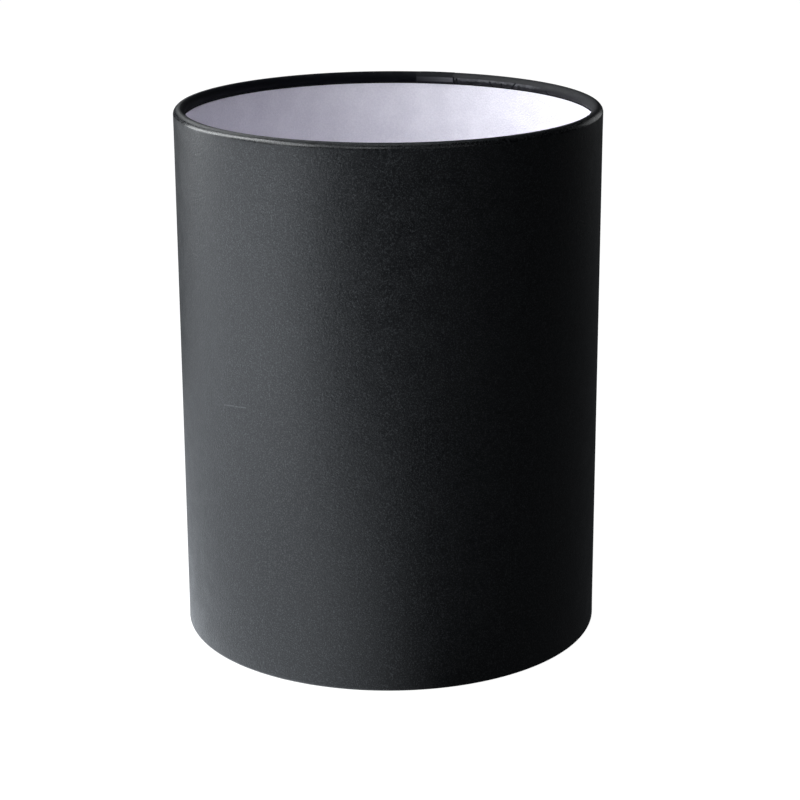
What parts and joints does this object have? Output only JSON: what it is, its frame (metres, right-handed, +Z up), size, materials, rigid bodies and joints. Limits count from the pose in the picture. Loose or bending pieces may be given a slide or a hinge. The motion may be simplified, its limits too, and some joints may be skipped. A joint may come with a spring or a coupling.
{
  "type": "round flower box",
  "caption": "Open round rigid paper box for flowers, charcoal outside with a rolled rim, lined in white card.",
  "frame": {"origin": "middle of the ring that the box stands on, at the height of the surface it stands on", "axes": "+Z up along the axis of the box; +Y to the back, where the wrap's lap seam is; +X to the right"},
  "size_m": [0.15, 0.15, 0.19],
  "materials": {
    "charcoal_paper": "satin",
    "white_card": "matte",
    "greyboard": "matte"
  },
  "bodies": {
    "root": {"body_tube": "greyboard", "outer_wrap": "charcoal_paper", "inner_lining": "white_card", "base_board": "greyboard", "floor_lining": "white_card", "base_cover": "charcoal_paper"}
  },
  "joints": []
}
